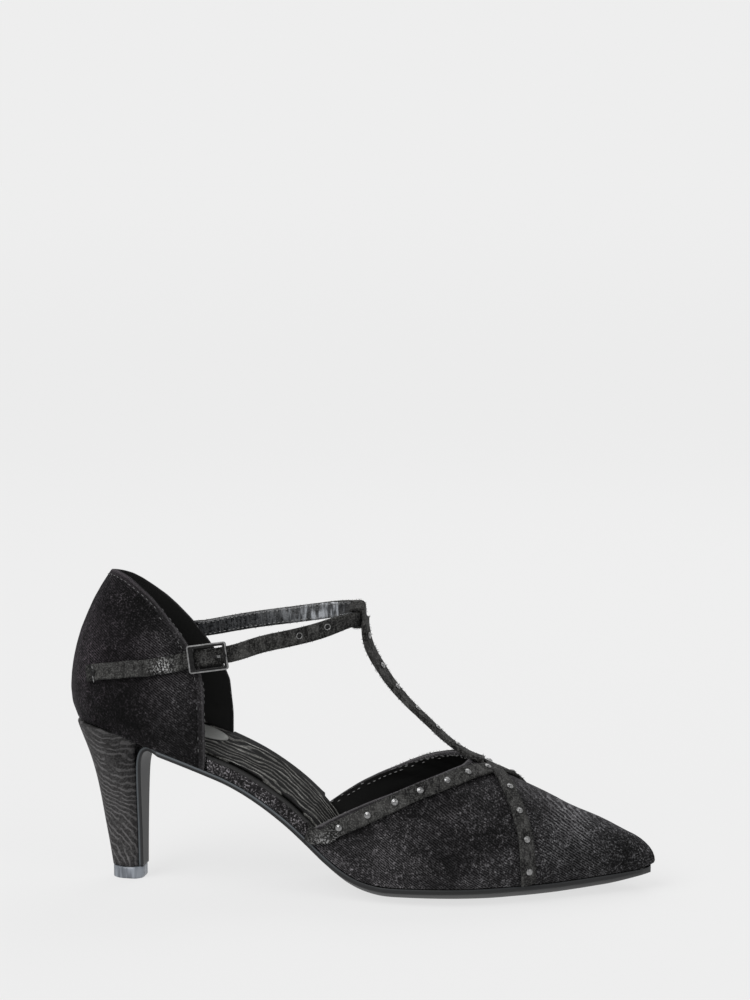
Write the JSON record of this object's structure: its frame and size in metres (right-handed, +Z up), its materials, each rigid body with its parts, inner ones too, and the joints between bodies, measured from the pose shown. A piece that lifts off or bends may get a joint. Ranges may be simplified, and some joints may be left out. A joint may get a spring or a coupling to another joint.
{
  "type": "velvet t-bar shoe",
  "caption": "Pointed velvet T-bar shoe with a slim covered heel, open waist, closed counter, crossing straps and a buckled ankle strap, for the right foot.",
  "frame": {"origin": "centre of the heel tip's bottom face, on the floor", "axes": "+X from the heel to the toe, +Y to the inner side of the foot, +Z up"},
  "size_m": [0.2549, 0.0774, 0.1368],
  "materials": {
    "velvet": "short dark velvet pile, lighter at its turned edges",
    "velvet_edge": "velvet wrapped round the insole board",
    "sock": "dark ribbed satin with fine shiny lengthwise lines",
    "heel_cover": "covered in a cloth with wavy lighter stripes",
    "strap": "crinkled dark textile with glossy lining",
    "sole": "smooth grey sheet",
    "lift": "smooth blue-grey top piece",
    "metal": "dark nickel"
  },
  "bodies": {
    "root": {"outsole": "sole", "heel": "heel_cover", "heel_lift": "lift", "insole_board": "velvet_edge", "insole_sock": "sock", "counter": "velvet", "vamp": "velvet", "t_strap": "strap", "ankle_strap": "strap", "buckle_frame": "metal", "buckle_prong": "metal", "strap_rivet": "metal", "lateral_trim_stud_1": "metal", "lateral_trim_stud_2": "metal", "lateral_trim_stud_3": "metal", "lateral_trim_stud_4": "metal", "lateral_trim_stud_5": "metal", "lateral_trim_stud_6": "metal", "lateral_trim_stud_7": "metal", "medial_trim_stud_1": "metal", "medial_trim_stud_2": "metal", "medial_trim_stud_3": "metal", "medial_trim_stud_4": "metal", "medial_trim_stud_5": "metal", "medial_trim_stud_6": "metal", "medial_trim_stud_7": "metal", "lateral_cross_stud_1": "metal", "lateral_cross_stud_2": "metal", "lateral_cross_stud_3": "metal", "lateral_cross_stud_4": "metal", "medial_cross_stud_1": "metal", "medial_cross_stud_2": "metal", "medial_cross_stud_3": "metal", "medial_cross_stud_4": "metal", "bar_stud_1": "metal", "bar_stud_2": "metal", "bar_stud_3": "metal", "bar_stud_4": "metal", "bar_stud_5": "metal", "bar_stud_6": "metal"}
  },
  "joints": []
}
